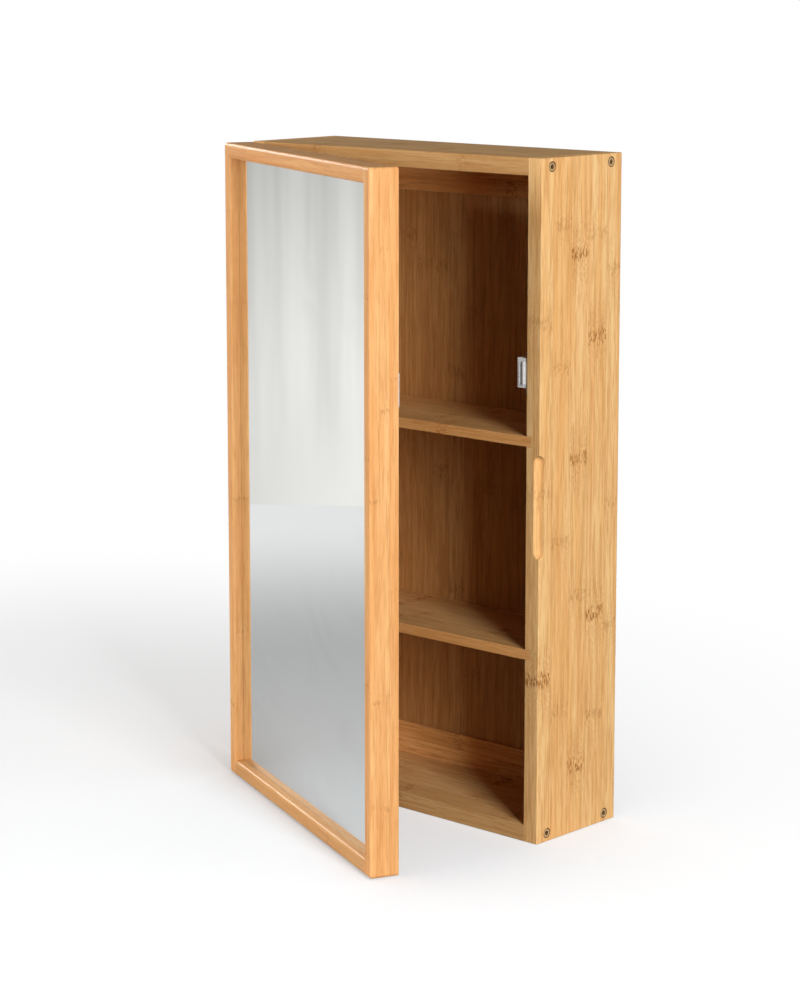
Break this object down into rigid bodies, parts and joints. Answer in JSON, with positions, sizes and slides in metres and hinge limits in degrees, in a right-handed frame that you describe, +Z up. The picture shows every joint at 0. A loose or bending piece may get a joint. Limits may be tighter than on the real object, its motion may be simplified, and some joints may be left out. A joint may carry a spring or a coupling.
{
  "type": "mirrored medicine cabinet",
  "caption": "Wall-hung bamboo medicine cabinet: a shelved open box with a framed mirror door on butt hinges, a magnetic catch and a finger pull.",
  "frame": {"origin": "on the wall plane, at the middle of the case's bottom edge", "axes": "+X to the right seen from the front, +Y back into the wall, +Z up"},
  "size_m": [0.3578, 0.2751, 0.6],
  "materials": {
    "bamboo": "clear satin lacquer",
    "frame_bamboo": "clear satin lacquer",
    "mirror": "silvered glass",
    "backing": "smooth hardboard",
    "foam_tape": "matt foam",
    "dowel_wood": "bare beech",
    "bright_steel": "zinc plated",
    "bronzed_steel": "bronze plated",
    "catch_plastic": "moulded",
    "ferrite": "sintered"
  },
  "bodies": {
    "case": {"left_side_panel": "bamboo", "right_side_panel": "bamboo", "top_panel": "bamboo", "bottom_panel": "bamboo", "upper_shelf": "bamboo", "lower_shelf": "bamboo", "back_panel": "bamboo", "upper_back_rail": "bamboo", "lower_back_rail": "bamboo", "case_screws": "bronzed_steel", "alignment_dowels": "dowel_wood", "hanger_plates": "bright_steel", "hanger_screws": "bright_steel", "upper_hinge_case_leaf": "bright_steel", "lower_hinge_case_leaf": "bright_steel", "upper_hinge_pin": "bright_steel", "lower_hinge_pin": "bright_steel", "case_hinge_screws": "bright_steel", "catch_housing": "catch_plastic", "catch_magnet": "ferrite", "catch_pole_plates": "bright_steel", "catch_screws": "bright_steel"},
    "door": {"door_hinge_stile": "frame_bamboo", "door_free_stile": "frame_bamboo", "door_top_rail": "frame_bamboo", "door_bottom_rail": "frame_bamboo", "mirror_glass": "mirror", "mirror_tape": "foam_tape", "backing_board": "backing", "retaining_pins": "bright_steel", "upper_hinge_door_leaf": "bright_steel", "lower_hinge_door_leaf": "bright_steel", "door_hinge_screws": "bright_steel", "strike_plate": "bright_steel", "strike_screws": "bright_steel"}
  },
  "joints": [
    {"name": "door_swing", "type": "hinge", "parent": "case", "child": "door", "pos_m": [-0.1765, -0.109, 0.3], "axis": [0, 0, -1], "range_deg": [-24, 146]}
  ]
}
